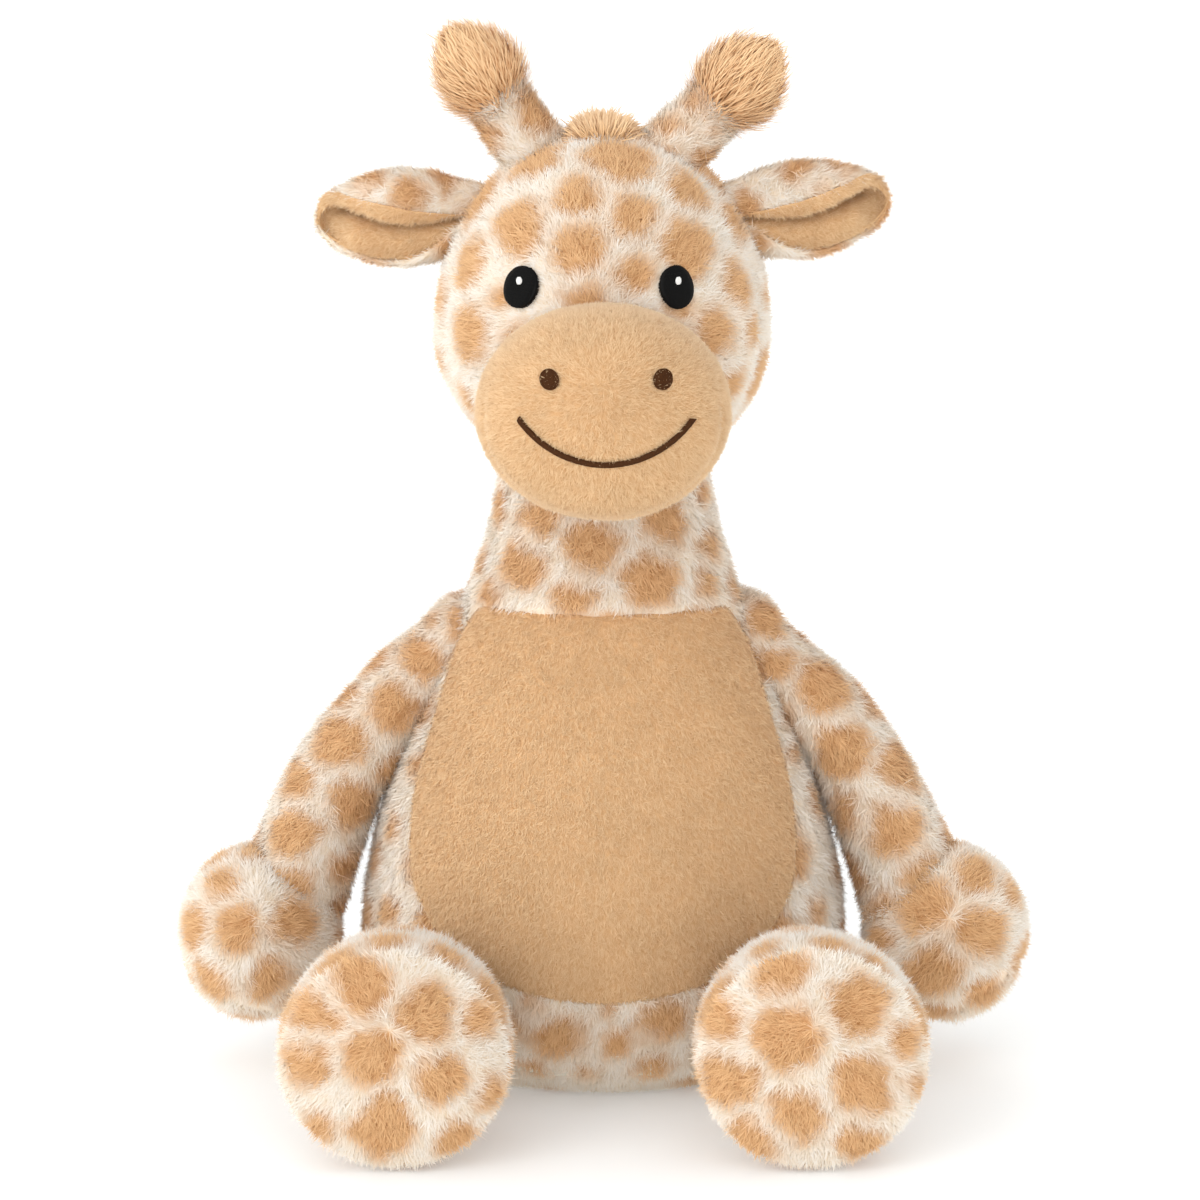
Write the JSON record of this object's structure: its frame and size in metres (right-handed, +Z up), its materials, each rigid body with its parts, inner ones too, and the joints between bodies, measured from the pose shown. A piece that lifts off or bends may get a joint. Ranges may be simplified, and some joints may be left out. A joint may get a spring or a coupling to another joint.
{
  "type": "sitting giraffe soft toy",
  "caption": "Sitting plush giraffe soft toy with a plain tummy panel, zipped base, turning head, hinged arms, legs, ears, horns and tail",
  "frame": {"origin": "middle of the flat base, on the ground, under the neck", "axes": "+Z up along the neck, -Y the way the toy faces, +X to the toy's own left"},
  "size_m": [0.3102, 0.2238, 0.3736],
  "materials": {
    "spotted_plush": "cream short-haired plush with tan spots",
    "tan_plush": "tan velour with a very short pile",
    "long_pile": "tan long-haired plush",
    "black_thread": "black embroidery thread, satin",
    "white_thread": "white embroidery thread, satin",
    "brown_thread": "dark brown embroidery thread, satin",
    "bag_cloth": "thin white polyester cloth round loose filling",
    "zip_tape": "woven polyester tape",
    "zip_nylon": "moulded nylon"
  },
  "bodies": {
    "torso": {"body_cover": "spotted_plush", "stuffing_bag": "bag_cloth", "tummy_panel": "tan_plush", "mane_neck": "long_pile", "zip_tape": "zip_tape", "zip_teeth": "zip_nylon"},
    "head": {"head": "spotted_plush", "muzzle": "tan_plush", "mane_head": "long_pile", "forelock": "long_pile", "left_eye": "black_thread", "right_eye": "black_thread", "left_eye_glint": "white_thread", "right_eye_glint": "white_thread", "left_nostril": "brown_thread", "right_nostril": "brown_thread", "mouth_stitch": "brown_thread"},
    "left_ear": {"left_ear_back": "spotted_plush", "left_ear_lining": "tan_plush"},
    "left_horn": {"left_horn_stem": "spotted_plush", "left_horn_tip": "long_pile"},
    "left_arm": {"left_arm": "spotted_plush", "left_hand": "spotted_plush"},
    "left_leg": {"left_leg": "spotted_plush", "left_foot": "spotted_plush", "left_sole": "spotted_plush"},
    "right_ear": {"right_ear_back": "spotted_plush", "right_ear_lining": "tan_plush"},
    "right_horn": {"right_horn_stem": "spotted_plush", "right_horn_tip": "long_pile"},
    "right_arm": {"right_arm": "spotted_plush", "right_hand": "spotted_plush"},
    "right_leg": {"right_leg": "spotted_plush", "right_foot": "spotted_plush", "right_sole": "spotted_plush"},
    "tail": {"tail": "spotted_plush", "tail_tuft": "long_pile"},
    "slider": {"zip_slider": "zip_nylon"}
  },
  "joints": [
    {"name": "head_turn", "type": "hinge", "parent": "torso", "child": "head", "pos_m": [0, 0, 0.215], "axis": [0, 0, 1], "range_deg": [-30, 30], "stiffness_Nm_per_rad": 0.12},
    {"name": "left_ear_flap", "type": "hinge", "parent": "head", "child": "left_ear", "pos_m": [0.048, 0, 0.3075], "axis": [0, 1, 0], "range_deg": [-16, 16], "stiffness_Nm_per_rad": 0.02},
    {"name": "left_horn_bend", "type": "hinge", "parent": "head", "child": "left_horn", "pos_m": [0.025, 0, 0.331], "axis": [0, 1, 0], "range_deg": [-12, 12], "stiffness_Nm_per_rad": 0.03},
    {"name": "left_arm_raise", "type": "hinge", "parent": "torso", "child": "left_arm", "pos_m": [0.05, 0, 0.15799], "axis": [0, -1, 0], "range_deg": [0, 70], "stiffness_Nm_per_rad": 0.04},
    {"name": "left_leg_lift", "type": "hinge", "parent": "torso", "child": "left_leg", "pos_m": [0.05, -0.052, 0.031], "axis": [-1, 0, 0], "range_deg": [-35, 22], "stiffness_Nm_per_rad": 0.08},
    {"name": "right_ear_flap", "type": "hinge", "parent": "head", "child": "right_ear", "pos_m": [-0.048, 0, 0.3075], "axis": [0, 1, 0], "range_deg": [-16, 16], "stiffness_Nm_per_rad": 0.02},
    {"name": "right_horn_bend", "type": "hinge", "parent": "head", "child": "right_horn", "pos_m": [-0.025, 0, 0.331], "axis": [0, 1, 0], "range_deg": [-12, 12], "stiffness_Nm_per_rad": 0.03},
    {"name": "right_arm_raise", "type": "hinge", "parent": "torso", "child": "right_arm", "pos_m": [-0.05, 0, 0.15799], "axis": [0, 1, 0], "range_deg": [0, 70], "stiffness_Nm_per_rad": 0.04},
    {"name": "right_leg_lift", "type": "hinge", "parent": "torso", "child": "right_leg", "pos_m": [-0.05, -0.052, 0.031], "axis": [-1, 0, 0], "range_deg": [-35, 22], "stiffness_Nm_per_rad": 0.08},
    {"name": "tail_wag", "type": "hinge", "parent": "torso", "child": "tail", "pos_m": [0, 0.063, 0.066], "axis": [0, 1, 0], "range_deg": [-45, 45], "stiffness_Nm_per_rad": 0.004},
    {"name": "zip_slide", "type": "slide", "parent": "torso", "child": "slider", "axis": [-1, 0, 0], "range_m": [0, 0.0716]}
  ]
}
